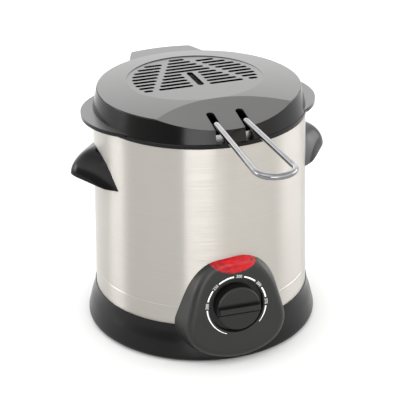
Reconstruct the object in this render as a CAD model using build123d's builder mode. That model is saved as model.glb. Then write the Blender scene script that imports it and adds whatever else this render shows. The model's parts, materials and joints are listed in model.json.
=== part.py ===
from build123d import *

import os
from math import cos, radians, sin, tan

# Countertop deep fryer: steel-shelled body, removable pot, wire basket and a vented snap-on lid.
# Millimetres, +Z up. The origin is the middle of the underside, on the table. The control panel and the
# basket handle face -Y, the side handles are at -X and +X, and the power inlet and lid tab are at +Y.

os.makedirs("parts", exist_ok=True)

# Outer shell: a slightly tapered steel drum
SHELL_MID_RADIUS = 106.0
SHELL_MID_HEIGHT = 125.0
SHELL_TAPER = 0.0186
SHELL_THICKNESS = 0.8
SHELL_BOTTOM = 32.0
SHELL_TOP = 222.0
SHELL_FLANGE_RADIUS = 100.5
GROOVE_HEIGHT = 57.0
GROOVE_DEPTH = 0.3

# Base
BASE_BOTTOM = 1.5
BASE_BOTTOM_RADIUS = 114.0
BASE_TOP = 37.6
BASE_LIP_RADIUS = 108.5
BASE_SEAT_OUTER_RADIUS = 107.9
BASE_SEAT_INNER_RADIUS = 106.7
BASE_SEAT_TOP = 40.0
BASE_FLANGE_RADIUS = 98.0
BASE_FLANGE_BOTTOM = 4.4
BASE_FLANGE_TOP = 7.0
PLATE_RADIUS = 109.0
PLATE_THICKNESS = 2.2
PLATE_SLOT_CIRCLE = 45.0
PLATE_SLOT_COUNT = 16
PLATE_SLOT_LENGTH = 22.0
PLATE_SLOT_WIDTH = 3.2
FOOT_RADIUS = 9.0
FOOT_PEG_RADIUS = 3.0
FOOT_CIRCLE = 88.0
BOTTOM_SCREW_CIRCLE = 103.5
BOTTOM_SCREW_RADIUS = 1.45
BOTTOM_SCREW_HEAD_RADIUS = 3.2
BOTTOM_SCREW_HEAD_HEIGHT = 1.4

# Rim ring, well and heater
RING_INNER_RADIUS = 96.4
RING_OUTER_RADIUS = 105.4
RING_TOP = 225.0
WELL_WALL = 1.0
WELL_FLANGE_RADIUS = 102.5
WELL_FLOOR_BOTTOM = 78.0
WELL_HOLE_RADIUS = 22.0
HEATER_RADIUS = 82.0
HEATER_TOP = 90.0
ELEMENT_CIRCLE = 62.0
ELEMENT_RADIUS = 3.5
ELEMENT_HEIGHT = 82.6
ELEMENT_GAP = 15.0
ELEMENT_LEAD_END = 62.0
ELEMENT_GROOVE_PLAY = 0.6
SHIELD_TOP = 75.6
SHIELD_RADIUS = 94.0
SHIELD_THICKNESS = 0.8
SHIELD_NOTCH_LENGTH = 46.0
SHIELD_NOTCH_WIDTH = 14.0
SPACER_CIRCLE = 84.0
SPACER_RADIUS = 4.0

# Pot
POT_RADIUS = 94.5
POT_WALL = 1.5
POT_CORNER = 6.0
POT_BOTTOM = 90.1
POT_FLOOR_THICKNESS = 1.9
POT_RIM_RADIUS = 98.6
POT_RIM_TOP = 232.0
POT_SHOULDER = 225.1

# Basket
BASKET_RIM_CIRCLE = 80.0
BASKET_RIM_HEIGHT = 207.0
BASKET_WIRE_RADIUS = 2.25
BASKET_RADIUS = 77.6
MESH_THICKNESS = 1.0
MESH_BOTTOM = 95.4
MESH_CORNER = 10.0
FRAME_WIRE_RADIUS = 1.5
WIRE_GAP = 0.05
BAND_BOTTOM = 183.0
BAND_TOP = 196.0
BAND_THICKNESS = 1.6
BAND_LENGTH = 50.0
PIVOT_Y = -87.0
PIVOT_Z = 197.0
EYE_RADIUS = 4.1
EYE_WIDTH = 3.6
EYE_CENTRE_X = 7.4

# Basket handle: its ends turn inward and lie in the basket's eyes
HANDLE_WIRE_RADIUS = 3.0
HANDLE_LEG_X = 14.4
HANDLE_LOOP_X = 18.5
HANDLE_TOP = 240.0
HANDLE_LOOP_Z = 238.4
HANDLE_LOOP_Y = -216.5
HANDLE_STUB_X = 4.0

# Lid. It sits turned a little on the body, and the basket and its handle with it
LID_TURN = 2.0
LID_BOTTOM = 225.3
LID_SKIRT_RADIUS = 104.5
LID_EDGE_RADIUS = 99.7
LID_EDGE_HEIGHT = 245.6
LID_CROWN = 250.0
LID_THICKNESS = 2.6
RECESS_CENTRE_Y = 10.5
RECESS_RADIUS = 67.0
RECESS_FLOOR = 247.7
RECESS_TILT = -0.02
RECESS_WALL_TAPER = -60.0
FACET_AXIS_Y = -300.0
FACET_SLOPE = 0.22
FACET_RADIUS = 251.2
FACET_HEIGHT = 249.0
SLOT_WIDTH = 7.8
SLOT_END_Y = -71.0
COLLAR_RADIUS = 68.0
COLLAR_WALL = 1.6
COLLAR_BOTTOM = 235.5
FILTER_RADIUS = 66.1
FILTER_THICKNESS = 4.0
COVER_THICKNESS = 1.8
COVER_HOLE_RADIUS = 2.6
COVER_HOLE_RINGS = (16, 30, 44, 58)
VENT_WIDTH = 5.2
VENT_PITCH = 8.7
VENT_FIRST_Y = 70.0
VENT_COUNT = 10
VENT_FIELD_CENTRE_Y = 12.0
VENT_FIELD_RADIUS = 61.5
VENT_RIB = 5.8
VENT_SPLIT_HALF = 8.4
VENT_FAN_HALF = 8.2
VENT_FAN_SLOPE = 0.4447
CROSS_SLOT_Y = 10.5
CROSS_SLOT_LENGTH = 40.0
CROSS_SLOT_WIDTH = 6.4
EAR_RADIUS = 68.0
EAR_CENTRE_X = 49.5
EAR_BOTTOM = 223.0
EAR_TOP = 226.8
TAB_RADIUS = 127.5
TAB_TOP = 242.0
TAB_THICKNESS = 3.4
TAB_ROOT_HALF = 44.6
TAB_END_HALF = 26.0
TAB_CORNER = 5.0

# Control panel: its face leans back, and its own axes are across, up the face and out of it
PANEL_CENTRE_Y = -117.5
PANEL_CENTRE_Z = 61.5
PANEL_TILT = 7.0
PANEL_DEPTH = 27.0
PANEL_DRAFT = 1.14
PANEL_SKIN = 3.0
PANEL_ROUNDING = 8.0
DIAL_RECESS_RADIUS = 27.3
DIAL_RECESS_DEPTH = 8.0
DIAL_CUP_WALL = 2.0
LENS_RADIUS = 31.5
LENS_CENTRE = 64.8
KNOB_RADIUS = 21.5
KNOB_FACE = 8.5
KNOB_GRIP = 12.5
SHAFT_RADIUS = 3.0
SHAFT_PLAY = 0.05
BUSHING_RADIUS = 4.9
BUSHING_END = -6.0
THERMOSTAT_LENGTH = 34.0
THERMOSTAT_WIDTH = 28.0
THERMOSTAT_DEPTH = 22.0
TERMINAL_TAB_LENGTH = 8.0
KNOB_BACK = -6.8
KNOB_WALL = 2.2
KNOB_GRIP_WIDTH = 6.2
KNOB_GROOVE_WIDTH = 2.3
KNOB_GROOVE_DEPTH = 1.8
HUB_RADIUS = 6.5
LAMP_UP = 40.0
LAMP_DEPTH = 4.7
LAMP_LENGTH = 16.0
LAMP_RADIUS = 1.4
PANEL_SCREWS = ((-33, -9), (33, -9))
PANEL_SCREW_BACK = -21.5
PANEL_SCREW_RADIUS = 1.3
PANEL_SCREW_HEAD_RADIUS = 3.0
PANEL_BOSS_RADIUS = 3.6

# Side handles
SCOOP_BOTTOM = 164.0
SCOOP_UNDERCUT = 11.0
SCOOP_INNER_X = 88.0
SCOOP_WALL = 3.0
HANDLE_SCREW_Y = 18.0
HANDLE_SCREW_Z = 174.0
HANDLE_SCREW_X = 99.2
HANDLE_SCREW_RADIUS = 1.5
HANDLE_SCREW_HEAD_RADIUS = 3.0
HANDLE_BOSS_RADIUS = 4.2

# Power inlet and wiring
INLET_HEIGHT = 58.0
INLET_WIDTH = 44.0
INLET_TALL = 24.0
INLET_FACE = 110.5
INLET_BACK = 90.0
SOCKET_FLOOR = 97.0
SOCKET_MARGIN = 10.0
PIN_X = 8.0
PIN_RADIUS = 2.2
PIN_BACK = 86.0
PIN_LENGTH = 20.0
MAGNET_X = 13.6
BLOCK_Y = 72.0
BLOCK_LENGTH = 44.0
BLOCK_WIDTH = 16.0
BLOCK_HEIGHT = 12.0
BLOCK_SCREW_Y = 66.0
BLOCK_WIRE_Y = 75.0
FUSE_X = -40.0
FUSE_RADIUS = 1.2
FUSE_LENGTH = 14.0
WIRE_RADIUS = 1.2
WIRE_BEND = 5.0


def finish(piece, name, turn=0.0):
    """Turn a finished piece about the drum's axis, label it and write its STEP file."""
    turned = piece.part.rotate(Axis.Z, turn)
    turned.label = name
    export_step(turned, f"parts/{name}.step")


def shell_radius(height):
    """Outside radius of the tapered steel shell at a height."""
    return SHELL_MID_RADIUS + (SHELL_MID_HEIGHT - height) * SHELL_TAPER


def panel_plane(out=0.0):
    """Plane of the leaning panel face, or one parallel to it further out."""
    tilt = radians(PANEL_TILT)
    outward = Vector(0, -cos(tilt), sin(tilt))
    origin = Vector(0, PANEL_CENTRE_Y, PANEL_CENTRE_Z) + outward * out
    return Plane(origin=origin, x_dir=(1, 0, 0), z_dir=outward)


def base_flank():
    """Convex outside curve of the base, from its bottom edge to its top lip."""
    return Spline(
        (BASE_BOTTOM_RADIUS, BASE_BOTTOM),
        (116.3, 4.2),
        (115.3, 11.0),
        (113.4, 19.0),
        (110.8, 27.0),
        (109.2, 33.0),
        (BASE_LIP_RADIUS, BASE_TOP),
    )


# ------------------------------------------------------------------ body core used to trim what sits on it
with BuildPart() as core:
    with BuildSketch(Plane.XZ):
        with BuildLine():
            base_flank()
            Polyline(
                (BASE_LIP_RADIUS, BASE_TOP),
                (shell_radius(BASE_TOP), BASE_TOP),
                (shell_radius(SHELL_TOP), SHELL_TOP),
                (0, SHELL_TOP),
                (0, -20),
                (BASE_BOTTOM_RADIUS, -20),
                (BASE_BOTTOM_RADIUS, BASE_BOTTOM),
            )
        make_face()
    revolve(axis=Axis.Z)

# ------------------------------------------------------------------ base
with BuildPart() as base_housing:
    with BuildSketch(Plane.XZ):
        with BuildLine():
            base_flank()
            Polyline(
                (BASE_LIP_RADIUS, BASE_TOP),
                (BASE_SEAT_OUTER_RADIUS, BASE_TOP),
                (BASE_SEAT_OUTER_RADIUS, SHELL_BOTTOM),
                (BASE_SEAT_INNER_RADIUS, SHELL_BOTTOM),
                (BASE_SEAT_INNER_RADIUS, BASE_SEAT_TOP),
                (104.2, BASE_SEAT_TOP),
                (104.2, 29.0),
                (107.8, 26.0),
                (111.6, 12.0),
                (111.6, BASE_FLANGE_TOP),
                (BASE_FLANGE_RADIUS, BASE_FLANGE_TOP),
                (BASE_FLANGE_RADIUS, BASE_FLANGE_BOTTOM),
                (109.6, BASE_FLANGE_BOTTOM),
                (109.6, BASE_BOTTOM),
                (BASE_BOTTOM_RADIUS, BASE_BOTTOM),
            )
        make_face()
    revolve(axis=Axis.Z)
    with Locations((0, 0, BASE_FLANGE_TOP)):
        with PolarLocations(BOTTOM_SCREW_CIRCLE, 4, start_angle=0):
            Hole(BOTTOM_SCREW_RADIUS, depth=BASE_FLANGE_TOP - BASE_FLANGE_BOTTOM)
finish(base_housing, "base_housing")

PLATE_BOTTOM = BASE_FLANGE_BOTTOM - PLATE_THICKNESS
with BuildPart() as bottom_plate:
    with BuildSketch(Plane.XY.offset(PLATE_BOTTOM)):
        Circle(PLATE_RADIUS)
        with PolarLocations(BOTTOM_SCREW_CIRCLE, 4):
            Circle(BOTTOM_SCREW_RADIUS, mode=Mode.SUBTRACT)
        with PolarLocations(FOOT_CIRCLE, 4, start_angle=45):
            Circle(FOOT_PEG_RADIUS, mode=Mode.SUBTRACT)
        with PolarLocations(PLATE_SLOT_CIRCLE, PLATE_SLOT_COUNT):
            SlotOverall(PLATE_SLOT_LENGTH, PLATE_SLOT_WIDTH, mode=Mode.SUBTRACT)
    extrude(amount=PLATE_THICKNESS)
finish(bottom_plate, "bottom_plate")

with BuildPart() as rubber_feet:
    with BuildSketch():
        with PolarLocations(FOOT_CIRCLE, 4, start_angle=45):
            Circle(FOOT_RADIUS)
    extrude(amount=PLATE_BOTTOM)
    chamfer(rubber_feet.edges().group_by(Axis.Z)[0], 0.6)
    with BuildSketch(Plane.XY.offset(PLATE_BOTTOM)):
        with PolarLocations(FOOT_CIRCLE, 4, start_angle=45):
            Circle(FOOT_PEG_RADIUS)
    extrude(amount=PLATE_THICKNESS + 1.2)
finish(rubber_feet, "rubber_feet")

with BuildPart() as bottom_screws:
    with BuildSketch(Plane.XY.offset(PLATE_BOTTOM)):
        with PolarLocations(BOTTOM_SCREW_CIRCLE, 4):
            Circle(BOTTOM_SCREW_HEAD_RADIUS)
    extrude(amount=-BOTTOM_SCREW_HEAD_HEIGHT)
    chamfer(bottom_screws.edges().group_by(Axis.Z)[0], 0.4)
    with BuildSketch(Plane.XY.offset(PLATE_BOTTOM - BOTTOM_SCREW_HEAD_HEIGHT)):
        with PolarLocations(BOTTOM_SCREW_CIRCLE, 4):
            Rectangle(4.2, 0.9)
            Rectangle(0.9, 4.2)
    extrude(amount=0.6, mode=Mode.SUBTRACT)
    with BuildSketch(Plane.XY.offset(PLATE_BOTTOM)):
        with PolarLocations(BOTTOM_SCREW_CIRCLE, 4):
            Circle(BOTTOM_SCREW_RADIUS)
    extrude(amount=BASE_FLANGE_TOP - PLATE_BOTTOM - 0.4)
finish(bottom_screws, "bottom_screws")

# ------------------------------------------------------------------ outer shell
SHELL_FLANGE_BOTTOM = SHELL_TOP - SHELL_THICKNESS
HANDLE_SCREW_SPOTS = ((-HANDLE_SCREW_Y, HANDLE_SCREW_Z), (HANDLE_SCREW_Y, HANDLE_SCREW_Z))
with BuildPart() as outer_shell:
    with BuildSketch(Plane.XZ):
        with BuildLine():
            Polyline(
                (shell_radius(SHELL_BOTTOM), SHELL_BOTTOM),
                (shell_radius(GROOVE_HEIGHT - 0.6), GROOVE_HEIGHT - 0.6),
                (shell_radius(GROOVE_HEIGHT) - GROOVE_DEPTH, GROOVE_HEIGHT),
                (shell_radius(GROOVE_HEIGHT + 0.6), GROOVE_HEIGHT + 0.6),
                (shell_radius(SHELL_TOP), SHELL_TOP),
                (SHELL_FLANGE_RADIUS, SHELL_TOP),
                (SHELL_FLANGE_RADIUS, SHELL_FLANGE_BOTTOM),
                (shell_radius(SHELL_FLANGE_BOTTOM) - SHELL_THICKNESS, SHELL_FLANGE_BOTTOM),
                (shell_radius(SHELL_BOTTOM) - SHELL_THICKNESS, SHELL_BOTTOM),
                close=True,
            )
        make_face()
    revolve(axis=Axis.Z)
    with BuildSketch(panel_plane(-30)):
        RectangleRounded(48, 42, 4)
        with Locations((0, 40)):
            Circle(3)
        with Locations(*PANEL_SCREWS):
            Circle(1.6)
    extrude(amount=30, mode=Mode.SUBTRACT)
    with BuildSketch(Plane.XZ.offset(-90)):
        with Locations((0, INLET_HEIGHT)):
            Rectangle(INLET_WIDTH - 4, INLET_TALL - 4)
    extrude(amount=-30, mode=Mode.SUBTRACT)
    with BuildSketch(Plane.YZ.offset(-120)):
        with Locations(*HANDLE_SCREW_SPOTS):
            Circle(2.1)
    extrude(amount=240, mode=Mode.SUBTRACT)
finish(outer_shell, "outer_shell")

# ------------------------------------------------------------------ rim ring and well
with BuildPart() as rim_ring:
    with BuildSketch(Plane.XZ):
        with BuildLine():
            Polyline(
                (RING_INNER_RADIUS, SHELL_TOP),
                (RING_INNER_RADIUS, RING_TOP),
                (RING_OUTER_RADIUS - 0.8, RING_TOP),
                (RING_OUTER_RADIUS, RING_TOP - 0.8),
                (RING_OUTER_RADIUS, SHELL_TOP - 1.0),
                (104.3, SHELL_TOP - 1.0),
                (104.3, SHELL_TOP),
                close=True,
            )
        make_face()
    revolve(axis=Axis.Z)
finish(rim_ring, "rim_ring")

WELL_FLOOR_TOP = WELL_FLOOR_BOTTOM + WELL_WALL
ELEMENT_LEG_X = ELEMENT_CIRCLE * sin(radians(ELEMENT_GAP))
ELEMENT_LEG_Y = ELEMENT_CIRCLE * cos(radians(ELEMENT_GAP))
with BuildPart() as inner_well:
    with BuildSketch(Plane.XZ):
        with BuildLine():
            Polyline(
                (WELL_HOLE_RADIUS, WELL_FLOOR_BOTTOM),
                (RING_INNER_RADIUS + WELL_WALL, WELL_FLOOR_BOTTOM),
                (RING_INNER_RADIUS + WELL_WALL, SHELL_FLANGE_BOTTOM - WELL_WALL),
                (WELL_FLANGE_RADIUS, SHELL_FLANGE_BOTTOM - WELL_WALL),
                (WELL_FLANGE_RADIUS, SHELL_FLANGE_BOTTOM),
                (RING_INNER_RADIUS, SHELL_FLANGE_BOTTOM),
                (RING_INNER_RADIUS, WELL_FLOOR_TOP),
                (WELL_HOLE_RADIUS, WELL_FLOOR_TOP),
                close=True,
            )
        make_face()
    revolve(axis=Axis.Z)
    with BuildSketch(Plane.XY.offset(WELL_FLOOR_BOTTOM)):
        with Locations((-ELEMENT_LEG_X, ELEMENT_LEG_Y), (ELEMENT_LEG_X, ELEMENT_LEG_Y)):
            Circle(ELEMENT_RADIUS + ELEMENT_GROOVE_PLAY)
    extrude(amount=WELL_WALL, mode=Mode.SUBTRACT)
finish(inner_well, "inner_well")

with BuildPart() as heater_plate:
    with BuildSketch(Plane.XY.offset(WELL_FLOOR_TOP)):
        Circle(HEATER_RADIUS)
    extrude(amount=HEATER_TOP - WELL_FLOOR_TOP)
    fillet(heater_plate.edges().group_by(Axis.Z)[-1], 1.5)
    with BuildSketch(Plane.XY.offset(WELL_FLOOR_TOP)):
        Circle(ELEMENT_CIRCLE + ELEMENT_RADIUS + ELEMENT_GROOVE_PLAY)
        Circle(ELEMENT_CIRCLE - ELEMENT_RADIUS - ELEMENT_GROOVE_PLAY, mode=Mode.SUBTRACT)
    extrude(amount=ELEMENT_HEIGHT + ELEMENT_RADIUS - WELL_FLOOR_TOP, mode=Mode.SUBTRACT)
finish(heater_plate, "heater_plate")

with BuildPart() as heating_element:
    with BuildSketch(Plane.XZ.rotated((0, 0, 90 + ELEMENT_GAP))):
        with Locations((ELEMENT_CIRCLE, ELEMENT_HEIGHT)):
            Circle(ELEMENT_RADIUS)
    revolve(axis=Axis.Z, revolution_arc=360 - 2 * ELEMENT_GAP)
    with BuildSketch(Plane.XY.offset(ELEMENT_LEAD_END)):
        with Locations((-ELEMENT_LEG_X, ELEMENT_LEG_Y), (ELEMENT_LEG_X, ELEMENT_LEG_Y)):
            Circle(ELEMENT_RADIUS)
    extrude(amount=ELEMENT_HEIGHT - ELEMENT_LEAD_END)
finish(heating_element, "heating_element")

with BuildPart() as heat_shield:
    with BuildSketch(Plane.XY.offset(SHIELD_TOP)):
        Circle(SHIELD_RADIUS)
        with Locations((0, ELEMENT_LEG_Y)):
            Rectangle(SHIELD_NOTCH_LENGTH, SHIELD_NOTCH_WIDTH, mode=Mode.SUBTRACT)
    extrude(amount=-SHIELD_THICKNESS)
finish(heat_shield, "heat_shield")

with BuildPart() as shield_spacers:
    with BuildSketch(Plane.XY.offset(SHIELD_TOP)):
        with PolarLocations(SPACER_CIRCLE, 3, start_angle=30):
            Circle(SPACER_RADIUS)
    extrude(amount=WELL_FLOOR_BOTTOM - SHIELD_TOP)
finish(shield_spacers, "shield_spacers")

# ------------------------------------------------------------------ control panel


def panel_outline(scale):
    """Egg outline of the panel, widest below the dial, grown about a point just under the dial."""
    half = [(0, 46.9), (23, 41.2), (38, 21.5), (45.6, -3), (48.5, -20), (41, -38), (23, -49.3), (0, -53.2)]
    grown = [(x * scale, (y + 5) * scale - 5) for x, y in half]
    mirrored = [(-x, y) for x, y in grown[-2:0:-1]]
    return Spline(*grown, *mirrored, periodic=True)


with BuildPart() as panel_form:
    for out, scale in ((0, 1.0), (-PANEL_DEPTH, PANEL_DRAFT)):
        with BuildSketch(panel_plane(out)):
            with BuildLine():
                panel_outline(scale)
            make_face()
    loft()
    face_edge = panel_form.edges().sort_by(Axis((0, 0, 0), panel_plane().z_dir))[-1]
    fillet(face_edge, PANEL_ROUNDING)

HOLLOW_SCALE = 1 - PANEL_SKIN / 50
with BuildPart() as panel_hollow:
    for out, scale in ((-PANEL_SKIN, HOLLOW_SCALE), (-PANEL_DEPTH - 1, PANEL_DRAFT * HOLLOW_SCALE)):
        with BuildSketch(panel_plane(out)):
            with BuildLine():
                panel_outline(scale)
            make_face()
    loft()

with BuildPart() as lens_prism:
    with BuildSketch(panel_plane(-30)):
        with Locations((0, LENS_CENTRE)):
            Circle(LENS_RADIUS)
    extrude(amount=40)

with BuildPart() as indicator_lens:
    add(panel_form.part)
    add(panel_hollow.part, mode=Mode.SUBTRACT)
    add(core.part, mode=Mode.SUBTRACT)
    add(lens_prism.part, mode=Mode.INTERSECT)
finish(indicator_lens, "indicator_lens")

with BuildPart() as control_panel:
    add(panel_form.part)
    add(panel_hollow.part, mode=Mode.SUBTRACT)
    add(lens_prism.part, mode=Mode.SUBTRACT)
    with BuildSketch(panel_plane(-1)):
        Circle(DIAL_RECESS_RADIUS + DIAL_CUP_WALL)
    extrude(amount=-DIAL_RECESS_DEPTH - DIAL_CUP_WALL + 1)
    with BuildSketch(panel_plane(-1)):
        with Locations(*PANEL_SCREWS):
            Circle(PANEL_BOSS_RADIUS)
    extrude(amount=1 - PANEL_DEPTH)
    with BuildSketch(panel_plane(1)):
        Circle(DIAL_RECESS_RADIUS)
    extrude(amount=-DIAL_RECESS_DEPTH - 1, mode=Mode.SUBTRACT)
    with BuildSketch(panel_plane(1)):
        Circle(BUSHING_RADIUS)
    extrude(amount=-20, mode=Mode.SUBTRACT)
    with BuildSketch(panel_plane(-PANEL_DEPTH)):
        with Locations(*PANEL_SCREWS):
            Circle(PANEL_SCREW_RADIUS)
    extrude(amount=PANEL_DEPTH - 5, mode=Mode.SUBTRACT)
    add(core.part, mode=Mode.SUBTRACT)
finish(control_panel, "control_panel")

with BuildPart() as indicator_lamp:
    with BuildSketch(Plane.YZ.offset(-LAMP_LENGTH / 2)):
        lamp_centre = panel_plane(-LAMP_DEPTH).from_local_coords((0, LAMP_UP, 0))
        with Locations((lamp_centre.Y, lamp_centre.Z)):
            Circle(LAMP_RADIUS)
    extrude(amount=LAMP_LENGTH)
finish(indicator_lamp, "indicator_lamp")

with BuildPart() as panel_screws:
    with BuildSketch(panel_plane(PANEL_SCREW_BACK)):
        with Locations(*PANEL_SCREWS):
            Circle(PANEL_SCREW_HEAD_RADIUS)
    extrude(amount=2)
    with BuildSketch(panel_plane(PANEL_SCREW_BACK)):
        with Locations(*PANEL_SCREWS):
            Circle(PANEL_SCREW_RADIUS)
    extrude(amount=14)
finish(panel_screws, "panel_screws")

# ------------------------------------------------------------------ thermostat and knob
CUP_BACK = -DIAL_RECESS_DEPTH - DIAL_CUP_WALL
with BuildPart() as thermostat_body:
    with BuildSketch(panel_plane(CUP_BACK)):
        Rectangle(THERMOSTAT_LENGTH, THERMOSTAT_WIDTH)
    extrude(amount=-THERMOSTAT_DEPTH)
    fillet(thermostat_body.edges().filter_by(Axis((0, 0, 0), panel_plane().z_dir)), 2)
    with BuildSketch(panel_plane(CUP_BACK)):
        Circle(BUSHING_RADIUS)
    extrude(amount=BUSHING_END - CUP_BACK)
    with BuildSketch(panel_plane(BUSHING_END)):
        Circle(SHAFT_RADIUS + SHAFT_PLAY)
    extrude(amount=-12, mode=Mode.SUBTRACT)
    with BuildSketch(panel_plane(CUP_BACK - THERMOSTAT_DEPTH)):
        with GridLocations(9, 14, 3, 2):
            Rectangle(6.3, 0.8)
    extrude(amount=-TERMINAL_TAB_LENGTH)
finish(thermostat_body, "thermostat_body")

with BuildPart() as thermostat_nut:
    with BuildSketch(panel_plane(-DIAL_RECESS_DEPTH)):
        RegularPolygon(7, 6, major_radius=False)
        Circle(BUSHING_RADIUS, mode=Mode.SUBTRACT)
    extrude(amount=1.8)
finish(thermostat_nut, "thermostat_nut")

with BuildPart() as thermostat_shaft:
    with BuildSketch(panel_plane(-16.5)):
        Circle(SHAFT_RADIUS)
    extrude(amount=17)
    with BuildSketch(panel_plane(-5)):
        with Locations((0, SHAFT_RADIUS)):
            Rectangle(2 * SHAFT_RADIUS, 2)
    extrude(amount=6, mode=Mode.SUBTRACT)
finish(thermostat_shaft, "thermostat_shaft")

with BuildPart() as knob_clip:
    with BuildSketch(panel_plane(-4.5)):
        with Locations((0, SHAFT_RADIUS - 0.72)):
            Rectangle(3.0, 0.5)
    extrude(amount=5)
finish(knob_clip, "knob_clip")

with BuildPart() as control_knob:
    with BuildSketch(panel_plane(KNOB_BACK)):
        Circle(KNOB_RADIUS)
    extrude(amount=KNOB_FACE - KNOB_BACK)
    fillet(control_knob.edges().sort_by(Axis((0, 0, 0), panel_plane().z_dir))[-1], 1.4)
    with BuildSketch(panel_plane(KNOB_FACE)):
        Rectangle(2 * KNOB_RADIUS, KNOB_GRIP_WIDTH + 2 * KNOB_GROOVE_WIDTH)
    extrude(amount=-KNOB_GROOVE_DEPTH, mode=Mode.SUBTRACT)
    with BuildSketch(panel_plane(KNOB_FACE - KNOB_GROOVE_DEPTH - 0.5)):
        Rectangle(2 * KNOB_RADIUS - 1.6, KNOB_GRIP_WIDTH)
    extrude(amount=KNOB_GRIP - KNOB_FACE + KNOB_GROOVE_DEPTH + 0.5, taper=4)
    with BuildSketch(panel_plane(KNOB_BACK)):
        Circle(KNOB_RADIUS - KNOB_WALL)
        Circle(HUB_RADIUS, mode=Mode.SUBTRACT)
    extrude(amount=KNOB_FACE - KNOB_BACK - KNOB_GROOVE_DEPTH - KNOB_WALL, mode=Mode.SUBTRACT)
    with BuildSketch(panel_plane(KNOB_BACK)):
        Circle(9)
    extrude(amount=1.2, mode=Mode.SUBTRACT)
    with BuildSketch(panel_plane(KNOB_BACK)):
        Circle(SHAFT_RADIUS)
    extrude(amount=7.3, mode=Mode.SUBTRACT)
finish(control_knob, "control_knob")

# ------------------------------------------------------------------ side handles


def scoop_section(reach, half_width):
    """Plan of the scoop at one height: a nose standing out from a straight inner line."""
    nose = [(0.0, 1.0), (0.44, 0.72), (0.8, 0.34), (1.0, 0.0), (0.8, -0.34), (0.44, -0.72), (0.0, -1.0)]
    points = [(SCOOP_INNER_X + reach * along, half_width * across) for along, across in nose]
    Spline(*points)
    Line(points[-1], points[0])


SCOOP_SECTIONS = ((0, 43.3, 50), (7, 42.6, 46), (14, 40, 41.5), (20.5, 35, 37), (25, 29.5, 33),
                  (28.8, 21, 26.5), (31.5, 11, 17))

with BuildPart() as scoop_form:
    for rise, reach, half_width in SCOOP_SECTIONS:
        with BuildSketch(Plane.XY.offset(SCOOP_BOTTOM + rise)):
            with BuildLine():
                scoop_section(reach, half_width)
            make_face()
    loft()

with BuildPart() as scoop_hollow:
    for rise, reach, half_width in SCOOP_SECTIONS:
        with BuildSketch(Plane.XY.offset(SCOOP_BOTTOM + rise - SCOOP_WALL)):
            with BuildLine():
                scoop_section(reach - SCOOP_WALL, half_width - SCOOP_WALL)
            make_face()
    loft()
    with BuildSketch(Plane.XY.offset(SCOOP_BOTTOM - 10)):
        Circle(shell_radius(SCOOP_BOTTOM) + SCOOP_WALL)
    extrude(amount=60, mode=Mode.SUBTRACT)

with BuildPart() as right_handle:
    add(scoop_form.part)
    add(scoop_hollow.part, mode=Mode.SUBTRACT)
    with BuildSketch(Plane.XZ):
        with BuildLine():
            Polyline(
                (SHELL_MID_RADIUS, SCOOP_BOTTOM),
                (SHELL_MID_RADIUS + 40, SCOOP_BOTTOM + 40 * tan(radians(SCOOP_UNDERCUT))),
                (SHELL_MID_RADIUS + 40, SCOOP_BOTTOM - 10),
                (SHELL_MID_RADIUS, SCOOP_BOTTOM - 10),
                close=True,
            )
        make_face()
    extrude(amount=60, both=True, mode=Mode.SUBTRACT)
    with BuildSketch(Plane.YZ.offset(100)):
        with Locations(*HANDLE_SCREW_SPOTS):
            Circle(HANDLE_BOSS_RADIUS)
    extrude(amount=12.5)
    add(core.part, mode=Mode.SUBTRACT)
    with BuildSketch(Plane.YZ.offset(95)):
        with Locations(*HANDLE_SCREW_SPOTS):
            Circle(HANDLE_SCREW_RADIUS)
    extrude(amount=16.2, mode=Mode.SUBTRACT)
finish(right_handle, "right_handle")

with BuildPart() as left_handle:
    mirror(right_handle.part, about=Plane.YZ)
finish(left_handle, "left_handle")

with BuildPart() as handle_screws:
    with BuildSketch(Plane.YZ.offset(HANDLE_SCREW_X)):
        with Locations(*HANDLE_SCREW_SPOTS):
            Circle(HANDLE_SCREW_HEAD_RADIUS)
    extrude(amount=2.4)
    with BuildSketch(Plane.YZ.offset(HANDLE_SCREW_X)):
        with Locations(*HANDLE_SCREW_SPOTS):
            Circle(HANDLE_SCREW_RADIUS)
    extrude(amount=11.5)
    mirror(about=Plane.YZ)
finish(handle_screws, "handle_screws")

# ------------------------------------------------------------------ power inlet and wiring
INLET_REAR = Plane.XZ.offset(-INLET_BACK)
with BuildPart() as power_inlet:
    with BuildSketch(INLET_REAR):
        with Locations((0, INLET_HEIGHT)):
            RectangleRounded(INLET_WIDTH, INLET_TALL, 5)
    extrude(amount=INLET_BACK - INLET_FACE)
    fillet(power_inlet.edges().group_by(Axis.Y)[-1], 1.2)
    add(core.part, mode=Mode.SUBTRACT)
    with BuildSketch(INLET_REAR):
        with Locations((0, INLET_HEIGHT)):
            Rectangle(INLET_WIDTH - 4.2, INLET_TALL - 4.2)
    extrude(amount=INLET_BACK - INLET_FACE + 2)
    with BuildSketch(Plane.XZ.offset(-SOCKET_FLOOR)):
        with Locations((0, INLET_HEIGHT)):
            RectangleRounded(INLET_WIDTH - SOCKET_MARGIN, INLET_TALL - SOCKET_MARGIN, 2.5)
    extrude(amount=-20, mode=Mode.SUBTRACT)
    with BuildSketch(INLET_REAR):
        with Locations((-PIN_X, INLET_HEIGHT), (PIN_X, INLET_HEIGHT)):
            Circle(PIN_RADIUS)
    extrude(amount=-20, mode=Mode.SUBTRACT)
finish(power_inlet, "power_inlet")

with BuildPart() as inlet_pins:
    with BuildSketch(Plane.XZ.offset(-PIN_BACK)):
        with Locations((-PIN_X, INLET_HEIGHT), (PIN_X, INLET_HEIGHT)):
            Circle(PIN_RADIUS)
    extrude(amount=-PIN_LENGTH)
    fillet(inlet_pins.edges().group_by(Axis.Y)[-1], 1.2)
finish(inlet_pins, "inlet_pins")

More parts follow.
